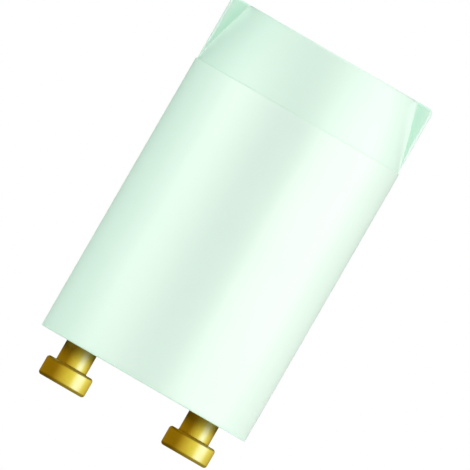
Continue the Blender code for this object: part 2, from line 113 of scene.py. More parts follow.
class Field:
    """A socket's value in a shader graph. Arithmetic on it adds Math nodes."""

    def __init__(self, graph: "Graph", socket: NodeSocket | None) -> None:
        """Keeps the socket and the graph that it belongs to."""
        self.graph = graph
        self.socket = socket

    def _math(self, operation: str, first: Any, second: Any) -> "Field":
        """One Math node on two values."""
        return self.graph.node("ShaderNodeMath", {"operation": operation}, {0: first, 1: second})

    def __add__(self, other: Any) -> "Field":
        """The sum."""
        return self._math("ADD", self, other)

    def __radd__(self, other: Any) -> "Field":
        """The sum, with this value second."""
        return self._math("ADD", other, self)

    def __sub__(self, other: Any) -> "Field":
        """The difference."""
        return self._math("SUBTRACT", self, other)

    def __rsub__(self, other: Any) -> "Field":
        """The difference, with this value second."""
        return self._math("SUBTRACT", other, self)

    def __mul__(self, other: Any) -> "Field":
        """The product."""
        return self._math("MULTIPLY", self, other)

    def __rmul__(self, other: Any) -> "Field":
        """The product, with this value second."""
        return self._math("MULTIPLY", other, self)

    def at_least(self, limit: Any) -> "Field":
        """The greater of this value and the limit."""
        return self._math("MAXIMUM", self, limit)


class Graph:
    """The node tree of a material or of the world, built through one method."""

    def __init__(self, owner: Material | World) -> None:
        """Gives its owner an empty tree.

        Args:
            owner: the material or world that the tree belongs to.
        """
        owner.use_nodes = True
        self.owner = owner
        self.tree = owner.node_tree
        self.tree.nodes.clear()

    def node(
        self,
        kind: str,
        settings: Mapping[str, Any] | None = None,
        inputs: Mapping[str | int, Any] | None = None,
        output: str | int = 0,
    ) -> Field:
        """Adds a node.

        Args:
            kind: the node's type.
            settings: its properties, such as an operation.
            inputs: values or fields for its sockets, by name or number.
            output: the socket that is returned.

        Returns:
            The chosen output.
        """
        made = self.tree.nodes.new(kind)
        for name, value in (settings or {}).items():
            setattr(made, name, value)
        for name, value in (inputs or {}).items():
            if isinstance(value, Field):
                self.tree.links.new(value.socket, made.inputs[name])
            else:
                made.inputs[name].default_value = value
        return Field(self, made.outputs[output] if made.outputs else None)

    def place(self) -> Field:
        """The point on the surface, in the piece's own frame."""
        return self.node("ShaderNodeTexCoord", output="Object")

    def height(self) -> Field:
        """The height of the point on the surface."""
        return self.node("ShaderNodeSeparateXYZ", inputs={0: self.place()}, output="Z")

    def axis_distance(self) -> Field:
        """How far the point on the surface lies from the piece's own axis."""
        across = self.stretched((1.0, 1.0, 0.0))
        return self.node("ShaderNodeVectorMath", {"operation": "LENGTH"}, {0: across}, output="Value")

    def stretched(self, scale: Sequence[float]) -> Field:
        """The point on the surface, scaled along each axis."""
        inputs = {0: self.place(), 1: tuple(scale)}
        return self.node("ShaderNodeVectorMath", {"operation": "MULTIPLY"}, inputs)

    def noise(
        self, per_metre: float, detail: float = 2.0, rough: float = 0.5, place: Field | None = None
    ) -> Field:
        """Smooth noise from 0 to 1 with that many features to the metre."""
        inputs = {"Vector": place or self.place(), "Scale": per_metre, "Detail": detail, "Roughness": rough}
        return self.node("ShaderNodeTexNoise", inputs=inputs, output="Fac")

    def remapped(
        self, value: Field, low: float, high: float, new_low: float = 0.0, new_high: float = 1.0
    ) -> Field:
        """The value taken from one range to another and kept inside it."""
        inputs = {"Value": value, "From Min": low, "From Max": high, "To Min": new_low, "To Max": new_high}
        return self.node("ShaderNodeMapRange", {"clamp": True}, inputs)

    def blend(self, share: Field, first: Any, second: Any) -> Field:
        """A colour between two, by a share from 0 to 1."""
        first, second = (v if isinstance(v, Field) else (*v, 1.0) for v in (first, second))
        return self.node("ShaderNodeMix", {"data_type": "RGBA"}, {0: share, 6: first, 7: second}, output=2)

    def clouded(self, noise: Field, reach: float, first: Any, second: Any) -> Field:
        """A colour between two, by the part of a noise that lies within that reach of a half."""
        return self.blend(self.remapped(noise, 0.5 - reach, 0.5 + reach), first, second)

    def bump(self, height: Field, distance: float, normal: Field | None = None) -> Field:
        """A normal bent by a height field.

        Args:
            height: the relief, from 0 to 1.
            distance: how high 1 stands.
            normal: an earlier bump that this one goes over.

        Returns:
            The bent normal.
        """
        inputs = {"Strength": 1.0, "Distance": distance, "Height": height}
        if normal:
            inputs["Normal"] = normal
        return self.node("ShaderNodeBump", inputs=inputs)

    def finish(self, shader: Field, kind: str = "ShaderNodeOutputMaterial") -> None:
        """Joins the shader to the tree's output."""
        self.node(kind, inputs={"Surface": shader})


def material_graph(name: str) -> Graph:
    """The empty graph of a new material."""
    return Graph(bpy.data.materials.new(name))


@dataclass(frozen=True)
class Finish(ABC):
    """The finish of a piece: one Principled shader, whose inputs each kind of finish works out."""

    name: str

    @abstractmethod
    def inputs(self, graph: Graph) -> Inputs:
        """The values and fields of the shader's sockets."""

    def material(self) -> Material:
        """Builds the finish.

        Returns:
            The material.
        """
        graph = material_graph(self.name)
        graph.finish(graph.node("ShaderNodeBsdfPrincipled", inputs=self.inputs(graph)))
        return graph.owner


@dataclass(frozen=True)
class PaintedShade:
    """Painted shade in a moulding's colour: along its bottom edge, a little over its grip, and most on its
    fins.
    """

    # Colours of the painted shade: at the fins' roots, and greyer on the fins' outer edges.
    colour: Colour
    edge_shade_colour: Colour
    rim_z: float
    foot_z: float
    foot_radius: float
    slope: float
    # How far out from the grip the painted shade on the fins starts, is full, and has faded out.
    start: float = 0.15 * MM
    full: float = 0.20 * MM
    fade_end: float = 3.2 * MM
    # How far in from the fins' ends the greyer painted shade starts and is full.
    edge_start: float = 0.40 * MM
    edge_full: float = 0.10 * MM
    grip_shade_share: float = 0.15
    grip_start: float = 0.05 * MM
    rim_shade_share: float = 0.32
    rim_band: float = 0.45 * MM

    def with_painted_shade(self, graph: Graph, body: Field) -> Field:
        """The colour of the whole moulding, with shade painted into it.

        Args:
            graph: the material's graph.
            body: the colour of its plain parts.

        Returns:
            The colour, with painted shade at the bottom edge, over the grip and on the fins.
        """
        height = graph.height()
        distance = graph.axis_distance()
        outside = distance - (self.foot_radius + self.slope * self.foot_z) + self.slope * height
        # Painted shade in the crease where each fin meets the grip, fading out towards the fin's end.
        fin = graph.remapped(outside, self.start, self.full)
        fade = graph.remapped(outside, self.full, self.fade_end, 1.0, 0.0)
        # A little painted shade over the whole grip.
        grip = graph.remapped(height, self.foot_z, self.foot_z + self.grip_start, 0.0, self.grip_shade_share)
        # A band of painted shade along the bottom edge.
        rim = graph.remapped(height, self.rim_z, self.rim_z + self.rim_band, self.rim_shade_share, 0.0)
        shaded = graph.blend((fin * fade).at_least(grip).at_least(rim), body, self.colour)
        # A greyer painted shade on the fins' outer edges.
        edge = graph.remapped(distance, self.foot_radius - self.edge_start, self.foot_radius - self.edge_full)
        return graph.blend(fin * edge, shaded, self.edge_shade_colour)


@dataclass(frozen=True)
class MouldedPlastic(Finish):
    """Moulded polycarbonate: cloudy in colour, with the fine grain of a spark-eroded mould."""

    colour: Colour
    deep_colour: Colour
    colour_reach: float = 0.15
    cloud_share: float = 0.6
    streak_share: float = 0.3
    grain_share: float = 0.1
    roughness: float = 0.4
    roughness_spread: float = 0.05
    clouds_per_metre: float = 110
    streaks_per_metre: float = 260
    streak_stretch: float = 0.08
    grain_per_metre: float = 5200
    grain_depth: float = 0.0022 * MM
    ripple_per_metre: float = 420
    ripple_depth: float = 0.006 * MM
    refraction: float = 1.585
    skin: float = 0.0
    skin_roughness: float = 0.25
    # Shade painted into the colour at the rim, over the grip and on the fins, if any.
    painted_shade: PaintedShade | None = None

    def inputs(self, graph: Graph) -> Inputs:
        """Works out the clouds and flow streaks, the grain and a slow ripple.

        Args:
            graph: the material's graph.

        Returns:
            The shader's inputs.
        """
        clouds = graph.noise(self.clouds_per_metre, detail=3)
        flow = graph.stretched((1.0, 1.0, self.streak_stretch))
        streaks = graph.noise(self.streaks_per_metre, detail=2, place=flow)
        grain = graph.noise(self.grain_per_metre, detail=2, rough=0.6)
        mixed = self.cloud_share * clouds + self.streak_share * streaks + self.grain_share * grain
        tint = graph.clouded(mixed, self.colour_reach, self.colour, self.deep_colour)
        # Paints shade over the clouded colour.
        if self.painted_shade:
            tint = self.painted_shade.with_painted_shade(graph, tint)
        spread = self.roughness_spread
        ripple = graph.bump(graph.noise(self.ripple_per_metre, detail=1), self.ripple_depth)
        return {
            "Base Color": tint,
            "Roughness": self.roughness + spread * (streaks - 0.5) + spread * (grain - 0.5),
            "Normal": graph.bump(grain, self.grain_depth, ripple),
            "IOR": self.refraction,
            "Coat Weight": self.skin,
            "Coat Roughness": self.skin_roughness,
        }


@dataclass(frozen=True)
class TurnedBrass(Finish):
    """Turned brass: fine tool marks round the axis, a little tarnish, soft gloss."""

    bright: Colour = (0.84, 0.645, 0.15)
    dull: Colour = (0.74, 0.53, 0.095)
    colour_reach: float = 0.2
    stain_share: float = 0.7
    roughness: float = 0.33
    roughness_spread: float = 0.05
    gloss_share: float = 0.6
    marks_per_metre: float = 9000
    mark_depth: float = 0.0005 * MM
    tarnish_per_metre: float = 700
    lacquer: float = 0.5
    lacquer_roughness: float = 0.25

    def inputs(self, graph: Graph) -> Inputs:
        """Works out the tool marks and the tarnish.

        Args:
            graph: the material's graph.

        Returns:
            The shader's inputs.
        """
        line = graph.node("ShaderNodeCombineXYZ", inputs={"X": graph.axis_distance(), "Y": graph.height()})
        marks = graph.noise(self.marks_per_metre, detail=3, rough=0.6, place=line)
        tarnish = graph.noise(self.tarnish_per_metre, detail=4, rough=0.6)
        stain = self.stain_share * tarnish + (1.0 - self.stain_share) * marks
        gloss = self.gloss_share * tarnish + (1.0 - self.gloss_share) * marks - 0.5
        return {
            "Base Color": graph.clouded(stain, self.colour_reach, self.bright, self.dull),
            "Roughness": self.roughness + self.roughness_spread * gloss,
            "Normal": graph.bump(marks, self.mark_depth),
            "Metallic": 1.0,
            "Coat Weight": self.lacquer,
            "Coat Roughness": self.lacquer_roughness,
        }


@dataclass(frozen=True)
class BareMetal(Finish):
    """Plain metal with a cloudy gloss and shallow marks: wire, solder or strip."""

    bright: Colour
    dull: Colour
    roughness: float
    roughness_spread: float = 0.12
    colour_reach: float = 0.15
    marks_per_metre: float = 2500
    mark_stretch: Sequence[float] = (1.0, 1.0, 1.0)
    mark_depth: float = 0.004 * MM

    def inputs(self, graph: Graph) -> Inputs:
        """Works out the marks, drawn out along the metal where it was rolled or drawn.

        Args:
            graph: the material's graph.

        Returns:
            The shader's inputs.
        """
        place = graph.stretched(self.mark_stretch)
        marks = graph.noise(self.marks_per_metre, detail=4, rough=0.6, place=place)
        return {
            "Base Color": graph.clouded(marks, self.colour_reach, self.bright, self.dull),
            "Roughness": self.roughness + self.roughness_spread * (marks - 0.5),
            "Normal": graph.bump(marks, self.mark_depth),
            "Metallic": 1.0,
        }


@dataclass(frozen=True)
class BlownGlass(Finish):
    """Clear soda glass with slow waves in its skin."""

    colour: Colour = (0.95, 0.98, 0.97)
    deep_colour: Colour = (0.88, 0.93, 0.91)
    roughness: float = 0.03
    least_share: float = 0.5
    waves_per_metre: float = 240
    wave_depth: float = 0.02 * MM
    refraction: float = 1.52

    def inputs(self, graph: Graph) -> Inputs:
        """Works out the waves.

        Args:
            graph: the material's graph.

        Returns:
            The shader's inputs.
        """
        waves = graph.noise(self.waves_per_metre, detail=1)
        return {
            "Base Color": graph.blend(waves, self.colour, self.deep_colour),
            "Roughness": self.roughness * (self.least_share + waves),
            "Normal": graph.bump(waves, self.wave_depth),
            "Transmission Weight": 1.0,
            "IOR": self.refraction,
        }


@dataclass(frozen=True)
class DippedResin(Finish):
    """The dipped coat of a film capacitor: glossy, with an uneven skin."""

    colour: Colour = (0.62, 0.30, 0.07)
    deep_colour: Colour = (0.45, 0.18, 0.035)
    colour_reach: float = 0.2
    roughness: float = 0.3
    roughness_spread: float = 0.2
    clouds_per_metre: float = 300
    skin_per_metre: float = 900
    skin_depth: float = 0.03 * MM

    def inputs(self, graph: Graph) -> Inputs:
        """Works out the clouds and the skin.

        Args:
            graph: the material's graph.

        Returns:
            The shader's inputs.
        """
        clouds = graph.noise(self.clouds_per_metre, detail=3)
        skin = graph.noise(self.skin_per_metre, detail=2)
        return {
            "Base Color": graph.clouded(clouds, self.colour_reach, self.colour, self.deep_colour),
            "Roughness": self.roughness + self.roughness_spread * (skin - 0.5),
            "Normal": graph.bump(skin, self.skin_depth),
        }


def filleted(corners: Sequence[Corner], steps: int = 6) -> list[Point]:
    """A profile with its rounded corners turned into arcs.

    Args:
        corners: the corners in order.
        steps: straight pieces in each arc.

    Returns:
        The (r, z) points.
    """
    path: list[Point] = []
    for i, corner in enumerate(corners):
        here = Vector((corner.r, corner.z))
        if not corner.rounding or i in (0, len(corners) - 1):
            path.append((corner.r, corner.z))
            continue
        before = (Vector(corners[i - 1][:2]) - here).normalized()
        after = (Vector(corners[i + 1][:2]) - here).normalized()
        half = before.angle(after) / 2
        centre = here + (before + after).normalized() * corner.rounding / math.sin(half)
        first = here + before * corner.rounding / math.tan(half) - centre
        last = here + after * corner.rounding / math.tan(half) - centre
        turn = first.angle_signed(last)
        for k in range(steps + 1):
            path.append(tuple(centre + Matrix.Rotation(-turn * k / steps, 2) @ first))
    return path


def supported(path: Sequence[Point], reach: float, longest: float, shortest: float = 4.0) -> list[Point]:
    """Adds points near the ends of a profile's long runs and along them, so that they shade straight.

    Args:
        path: the (r, z) points.
        reach: how far from each end of a run its extra point lies.
        longest: the longest run that is left whole.
        shortest: how many reaches a run must measure to get extra points.

    Returns:
        The profile with the added points.
    """
    made: list[Point] = [path[0]]
    for start, end in zip(path, path[1:]):
        low, high = Vector(start), Vector(end)
        length = (high - low).length
        if length > shortest * reach:
            inner_low = low.lerp(high, reach / length)
            inner_high = high.lerp(low, reach / length)
            count = max(1, math.ceil((length - 2 * reach) / longest))
            made.extend(tuple(inner_low.lerp(inner_high, k / count)) for k in range(count + 1))
        made.append(end)
    return made


def round_ring(radius: float, z: float, angles: Sequence[float]) -> Ring:
    """A ring of points round the axis.

    Args:
        radius: the ring's radius.
        z: its height.
        angles: where its points stand, from +X.

    Returns:
        The points, or one point where the radius is nothing.
    """
    if radius <= 0:
        return [Vector((0.0, 0.0, z))]
    return [Vector((radius * math.cos(a), radius * math.sin(a), z)) for a in angles]


def even_angles(count: int) -> list[float]:
    """That many angles spread evenly round the axis."""
    return [2 * math.pi * i / count for i in range(count)]


@contextmanager
def shaped(mesh: Mesh) -> Iterator[BMesh]:
    """Opens a mesh for shaping and writes the changes back to it.

    Args:
        mesh: the mesh, which may be empty.

    Yields:
        Its points and faces, to be changed.
    """
    body = bmesh.new()
    body.from_mesh(mesh)
    yield body
    body.to_mesh(mesh)
    body.free()


def woven(body: BMesh, rings: Sequence[Ring], closed: bool = True) -> list[list[BMVert]]:
    """Fills the bands between rings of points with faces.

    Args:
        body: the mesh that takes them.
        rings: rings of equally many points, or single points at the poles.
        closed: whether each ring runs all the way round.

    Returns:
        The points in the mesh, ring by ring.
    """
    rows = [[body.verts.new(point) for point in ring] for ring in rings]
    for upper, lower in zip(rows, rows[1:]):
        count = max(len(upper), len(lower))
        for i in range(count if closed else count - 1):
            j = (i + 1) % count
            above = (upper[i % len(upper)], upper[j % len(upper)])
            below = (lower[j % len(lower)], lower[i % len(lower)])
            body.faces.new(dict.fromkeys(above + below))
    return rows


def linked(name: str, data: ID) -> Object:
    """Makes an object and links it to the scene.

    Args:
        name: the object's name.
        data: its mesh, lamp or camera.

    Returns:
        The object.
    """
    obj = bpy.data.objects.new(name, data)
    bpy.context.scene.collection.objects.link(obj)
    return obj


def skinned(name: str, rings: Sequence[Ring]) -> Object:
    """A closed mesh skinned over rings that run from one pole to another.

    Args:
        name: the piece's name.
        rings: rings of equally many points, with a single point first and last.

    Returns:
        The object, linked to the scene.
    """
    obj = linked(name, bpy.data.meshes.new(name))
    with shaped(obj.data) as body:
        woven(body, rings)
        bmesh.ops.recalc_face_normals(body, faces=body.faces)
    return obj


def turned(name: str, path: Sequence[Point], steps: int) -> Object:
    """A closed piece turned from a profile that starts and ends on the axis."""
    angles = even_angles(steps)
    return skinned(name, [round_ring(r, z, angles) for r, z in path])


def applied(obj: Object) -> None:
    """Writes a piece's modifiers into its mesh.

    Args:
        obj: the piece.
    """
    bpy.context.view_layer.update()
    graph = bpy.context.evaluated_depsgraph_get()
    obj.data = bpy.data.meshes.new_from_object(obj.evaluated_get(graph))
    obj.modifiers.clear()


def dressed(obj: Object, finish: Finish, nodes: Sequence[str]) -> None:
    """Shades a new piece smooth and gives it its material and body, in place of CAD nodes.

    Args:
        obj: the piece.
        finish: its finish.
        nodes: the CAD nodes that it replaces.
    """
    obj.data.shade_smooth()
    obj.data.set_sharp_from_angle(angle=SHARP_ANGLE)
    obj.data.materials.append(finish.material())
    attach(obj, BODY)
    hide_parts(*nodes)
    log.info("%s: %d faces, for %s", obj.name, len(obj.data.polygons), ", ".join(nodes))


def redressed(nodes: Iterable[str], finish: Finish) -> None:
    """Gives carried-over CAD nodes a new material.

    Args:
        nodes: the nodes.
        finish: their finish.
    """
    material = finish.material()
    for name in nodes:
        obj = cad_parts[name]
        obj.data.materials.clear()
        obj.data.materials.append(material)
        log.info("%s keeps its solid and is finished as %s", name, material.name)


@dataclass
class Housing:
    """The moulded cap: barrel, ledge, conical grip with two fins, and the mouth that takes the base plate."""

    barrel_length: float = 27.8 * MM
    ledge_step: float = 0.12 * MM
    ledge_rounding: float = 0.04 * MM
    grip_top_radius: float = 8.66 * MM
    grip_bulge: float = 0.11 * MM
    top_rounding: float = 0.25 * MM
    rim_rounding: float = 0.11 * MM
    wall: float = 1.1 * MM
    seat_depth: float = 0.3 * MM
    fit_gap: float = 0.1 * MM
    bead_radius: float = 0.2 * MM
    fin_half: float = 1.0 * MM
    fin_corner: float = 0.5 * MM
    fin_rounding: float = 0.3 * MM
    fin_fillet: float = 0.05 * MM
    # The fin's upright corners have this share of its rounding, and lose this share of what its top loses.
    corner_share: float = 0.9
    corner_loss: float = 0.6
    # No corner or fillet takes more than this share of how far the fin stands out.
    rise_share: float = 0.45
    foot_groove_depth: float = 0.022 * MM
    foot_groove_height: float = 0.06 * MM
    flat_steps: int = 3
    corner_steps: int = 4
    wall_steps: int = 4
    fillet_steps: int = 4
    arc_steps: int = 57
    bead_steps: int = 8
    fin_column_angle: float = math.radians(0.55)
    grip_levels: int = 18
    top_levels: int = 12
    flat_share: float = 0.8
    flat_rings: int = 4
    edge_shares: Sequence[float] = (0.5, 0.9, 0.985)
    support: float = 0.06 * MM
    longest_run: float = 2.5 * MM
    finish: MouldedPlastic = MouldedPlastic(
        "mint_polycarbonate", (0.70, 0.865, 0.765), (0.68, 0.855, 0.75), skin=0.15
    )
    # Colours of the shade painted at the fins' roots and on their outer edges.
    fin_shade_colour: Colour = (0.53, 0.835, 0.67)
    fin_edge_shade_colour: Colour = (0.59, 0.77, 0.68)

    def __post_init__(self) -> None:
        """Takes the outer sizes from the frame."""
        low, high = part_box("housing")
        self.radius = high.x
        self.rim_z = low.z
        self.top_z = high.z
        self.ledge_z = self.rim_z + self.barrel_length
        self.grip_radius = self.radius - self.ledge_step
        self.slope = (self.grip_radius - self.grip_top_radius) / (self.top_z - self.ledge_z)
        self.cavity_radius = self.radius - self.wall
        self.mouth_radius = self.cavity_radius + self.seat_depth
        self.plate_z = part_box("base_plate")[0].z

    def build(self) -> None:
        """Builds the piece and dresses it."""
        obj = skinned("housing_moulding", self._top_face() + self._grip() + self._turned_part())
        # Shade is painted into the colour at the rim, over the grip and on the fins.
        painted_shade = PaintedShade(
            self.fin_shade_colour, self.fin_edge_shade_colour, self.rim_z, self.ledge_z, self.grip_radius, self.slope
        )
        dressed(obj, replace(self.finish, painted_shade=painted_shade), ["housing"])

    def _columns(self) -> list[float]:
        """Angles of the columns round the barrel, closer together where the fins stand.

        Returns:
            The angles, one for each point of the grip's outline.
        """
        near = self.flat_steps + self.corner_steps + self.wall_steps + self.fillet_steps
        edge = near * self.fin_column_angle
        quarter = [i * self.fin_column_angle for i in range(near)]
        quarter += [edge + (math.pi / 2 - edge) * i / self.arc_steps for i in range(self.arc_steps + 1)]
        return [math.atan2(y, x) for x, y in self._mirrored([(math.cos(a), math.sin(a)) for a in quarter])]

    @staticmethod
    def _mirrored(quarter: Sequence[Point]) -> list[Point]:
        """Carries a quarter of an outline on round all four.

        Args:
            quarter: its points from +X to +Y.

        Returns:
            The points all round.
        """
        back = quarter[:0:-1]
        ahead = quarter[:-1]
        parts = ((1, 1, ahead), (-1, 1, back), (-1, -1, ahead), (1, -1, back))
        return [(side * x, face * y) for side, face, part in parts for x, y in part]

    def _cone_radius(self, z: float) -> float:
        """Radius of the grip between its fins, with its bulge and the rounding of its top edge.

        Args:
            z: the height.

        Returns:
            The radius there.
        """
        share = (self.top_z - z) / (self.top_z - self.ledge_z)
        bulge = self.grip_bulge * math.sin(math.pi * share)
        side = self.grip_top_radius + self.slope * (self.top_z - z) + bulge
        tilt = math.atan(self.slope)
        centre_z = self.top_z - self.top_rounding
        centre_r = self.grip_top_radius + self.slope * self.top_rounding - self.top_rounding / math.cos(tilt)
        if z <= centre_z + self.top_rounding * math.sin(tilt):
            return side
        return centre_r + math.sqrt(max(0.0, self.top_rounding**2 - (z - centre_z) ** 2))

    def _round_off(self, z: float, radius: float) -> float:
        """How far an edge rounded by that radius has drawn in at a height under the top."""
        rise = max(0.0, z - (self.top_z - radius))
        return radius - math.sqrt(max(0.0, radius**2 - rise**2))

    def _outline(self, z: float, inset: float = 0.0) -> Ring:
        """The grip's outline with both fins at a height.

        Args:
            z: the height.
            inset: how far the outline is drawn in all round.

        Returns:
            The ring of points.
        """
        cone = self._cone_radius(z) - inset
        end = self.grip_radius - self._round_off(z, self.fin_corner) - inset
        half = self.fin_half - self._round_off(z, self.fin_rounding)
        most = self.rise_share * (end - math.sqrt(cone**2 - half**2))
        corner = min(self.fin_rounding * self.corner_share - self.corner_loss * (self.fin_half - half), most)
        fillet = min(self.fin_fillet, most)
        centre_x = math.sqrt((cone + fillet) ** 2 - (half + fillet) ** 2)
        centre_y = half + fillet
        touch = math.atan2(centre_y, centre_x)
        quarter = [(end, (half - corner) * i / self.flat_steps) for i in range(self.flat_steps)]
        for i in range(self.corner_steps):
            a = math.pi / 2 * i / self.corner_steps
            quarter.append((end - corner * (1 - math.cos(a)), half - corner * (1 - math.sin(a))))
        for i in range(self.wall_steps):
            quarter.append((end - corner + (centre_x - end + corner) * i / self.wall_steps, half))
        for i in range(self.fillet_steps):
            a = -math.pi / 2 - (math.pi / 2 - touch) * i / self.fillet_steps
            quarter.append((centre_x + fillet * math.cos(a), centre_y + fillet * math.sin(a)))
        for i in range(self.arc_steps + 1):
            a = touch + (math.pi / 2 - touch) * i / self.arc_steps
            quarter.append((cone * math.cos(a), cone * math.sin(a)))
        return [Vector((x, y, z)) for x, y in self._mirrored(quarter)]

    def _top_face(self) -> list[Ring]:
        """The flat top: round rings in its middle, which turn into the outline with the fins.

        Returns:
            The rings, from the middle outwards.
        """
        edge = self._outline(self.top_z)
        columns = self._columns()
        inner = self.grip_top_radius * self.flat_share
        shares = [k / self.flat_rings for k in range(self.flat_rings + 1)]
        rings = [round_ring(inner * share, self.top_z, columns) for share in shares]
        middle = rings[-1]
        for share in self.edge_shares:
            rings.append([near.lerp(far, share) for near, far in zip(middle, edge)])
        return rings

    def _grip(self) -> list[Ring]:
        """The rounded top edge, the conical side with its fins, and the groove at its foot.

        Returns:
            The rings, from the top down.
        """
        depth = self.fin_corner
        rings = []
        for k in range(self.top_levels):
            angle = math.pi / 2 * k / self.top_levels
            rings.append(self._outline(self.top_z - depth * (1 - math.cos(angle))))
        start = self.top_z - depth
        foot = self.ledge_z + self.foot_groove_height
        for k in range(self.grip_levels + 1):
            rings.append(self._outline(start + (foot - start) * k / self.grip_levels))
        rings.append(self._outline(self.ledge_z + self.foot_groove_height / 2, self.foot_groove_depth))
        rings.append(self._outline(self.ledge_z, self.foot_groove_depth))
        return rings

    def _turned_part(self) -> list[Ring]:
        """Ledge, barrel, rim, mouth with its snap bead, seat and cavity.

        Returns:
            The rings, down the outside and up the inside.
        """
        bead_z = self.plate_z - self.fit_gap - self.bead_radius
        seat_z = self.plate_z + PLATE_THICKNESS + self.fit_gap
        corners = [
            Corner(self.grip_radius, self.ledge_z),
            Corner(self.radius, self.ledge_z, self.ledge_rounding),
            Corner(self.radius, self.rim_z, self.rim_rounding),
            Corner(self.mouth_radius, self.rim_z, self.rim_rounding),
            Corner(self.mouth_radius, bead_z - self.bead_radius),
        ]
        turns = [math.pi * (i + 1) / self.bead_steps for i in range(self.bead_steps)]
        bead = [
            (self.mouth_radius - self.bead_radius * math.sin(a), bead_z - self.bead_radius * math.cos(a))
            for a in turns
        ]
        inner = [
            (self.mouth_radius, seat_z),
            (self.cavity_radius, seat_z),
            (self.cavity_radius, self.ledge_z - self.wall / 2),
            (self.grip_top_radius - self.wall, self.top_z - self.wall),
            (0.0, self.top_z - self.wall),
        ]
        # The grip's last ring stands in for the first corner, which only gives the ledge its direction.
        path = supported(filleted(corners)[1:] + bead + inner, self.support, self.longest_run)
        columns = self._columns()
        return [round_ring(r, z, columns) for r, z in path]


@dataclass
class BasePlate:
    """The disc that closes the mouth, with a spigot ring inside and a hole for each pin."""

    thickness: float = PLATE_THICKNESS
    spigot_wall: float = 0.8 * MM
    spigot_step: float = 0.3 * MM
    edge_rounding: float = 0.08 * MM
    edge_segments: int = 3
    weld: float = 0.001 * MM
    hole_radius: float = 1.25 * MM
    seat_radius: float = 2.0 * MM
    seat_depth: float = 0.2 * MM
    steps: int = 160
    hole_steps: int = 64
    cut_margin: float = MM
    finish: MouldedPlastic = MouldedPlastic(
        "base_polycarbonate", (0.66, 0.76, 0.70), (0.62, 0.73, 0.665), roughness=0.5
    )

    def build(self) -> None:
        """Builds the piece and dresses it."""
        low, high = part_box("base_plate")
        flange = high.x
        spigot = flange - self.spigot_step
        top_z = low.z + self.thickness
        path = [
            (0.0, top_z),
            (spigot - self.spigot_wall, top_z),
            (spigot - self.spigot_wall, high.z),
            (spigot, high.z),
            (spigot, top_z),
            (flange, top_z),
            (flange, low.z),
            (0.0, low.z),
        ]
        obj = turned("base_plate_moulding", path, self.steps)
        self._merge_flats(obj.data)
        over = high.z + self.cut_margin
        holes = (
            ("hole", self.hole_radius, low.z - self.cut_margin),
            ("seat", self.seat_radius, top_z - self.seat_depth),
        )
        for side in Side:
            pin_low, pin_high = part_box(f"contact_pin_{side.word}")
            for word, radius, foot in holes:
                profile = ((0.0, over), (radius, over), (radius, foot), (0.0, foot))
                cutter = turned(f"{side.word}_{word}_cutter", profile, self.hole_steps)
                cutter.location.x = (pin_low.x + pin_high.x) / 2
                self._cut(obj, cutter)
        self._round_edges(obj)
        dressed(obj, self.finish, ["base_plate"])

    @staticmethod
    def _merge_flats(mesh: Mesh) -> None:
        """Joins the faces that lie in one plane."""
        with shaped(mesh) as body:
            bmesh.ops.dissolve_limit(body, angle_limit=FLAT_ANGLE, verts=body.verts, edges=body.edges)

    def _cut(self, obj: Object, cutter: Object) -> None:
        """Cuts a hole.

        Args:
            obj: the piece.
            cutter: the shape that is taken out of it.
        """
        self._merge_flats(cutter.data)
        step = obj.modifiers.new("cut", "BOOLEAN")
        step.object = cutter
        step.solver = "EXACT"
        step.operation = "DIFFERENCE"
        applied(obj)
        bpy.data.objects.remove(cutter, do_unlink=True)

    def _round_edges(self, obj: Object) -> None:
        """Rounds the plate's sharp edges a little and joins the points where two roundings meet.

        Args:
            obj: the piece.
        """
        bevel = obj.modifiers.new("rounding", "BEVEL")
        bevel.width = self.edge_rounding
        bevel.segments = self.edge_segments
        bevel.limit_method = "ANGLE"
        bevel.angle_limit = SHARP_ANGLE
        applied(obj)
        with shaped(obj.data) as body:
            bmesh.ops.remove_doubles(body, verts=body.verts, dist=self.weld)


@dataclass
class ContactPin:
    """A turned brass pin: round head, neck, and a bored shank that is riveted over on the base plate."""

    side: Side
    head_rounding: float = 0.3 * MM
    head_thickness: float = 1.92 * MM
    neck_radius: float = 1.535 * MM
    neck_fillet: float = 0.08 * MM
    shank_radius: float = 1.1 * MM
    rivet_radius: float = 1.8 * MM
    rivet_thickness: float = 0.5 * MM
    bore_radius: float = 0.7 * MM
    bore_depth: float = 3.4 * MM
    bore_rounding: float = 0.1 * MM
    plate_gap: float = 0.1 * MM
    steps: int = 128
    arc_steps: int = 8
    support: float = 0.05 * MM
    longest_run: float = 1.0 * MM

    def build(self) -> None:
        """Builds the piece and dresses it."""
        node = f"contact_pin_{self.side.word}"
        low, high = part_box(node)
        head = (high.x - low.x) / 2
        neck_z = low.z + self.head_thickness
        shoulder_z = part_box("base_plate")[0].z - self.plate_gap
        rivet_z = high.z - self.rivet_thickness
        corners = [
            Corner(0.0, high.z - self.bore_depth),
            Corner(self.bore_radius, high.z - self.bore_depth),
            Corner(self.bore_radius, high.z, self.bore_rounding),
            Corner(self.rivet_radius, high.z, self.rivet_thickness / 2),
            Corner(self.rivet_radius, rivet_z),
            Corner(self.shank_radius, rivet_z),
            Corner(self.shank_radius, shoulder_z),
            Corner(self.neck_radius, shoulder_z),
            Corner(self.neck_radius, neck_z, self.neck_fillet),
            Corner(head, neck_z, self.head_rounding),
            Corner(head, low.z, self.head_rounding),
            Corner(0.0, low.z),
        ]
        path = supported(filleted(corners, self.arc_steps), self.support, self.longest_run)
        obj = turned(f"{self.side.word}_pin_turning", path, self.steps)
        obj.location.x = (low.x + high.x) / 2
        dressed(obj, TurnedBrass(f"{self.side.word}_pin_brass"), [node])


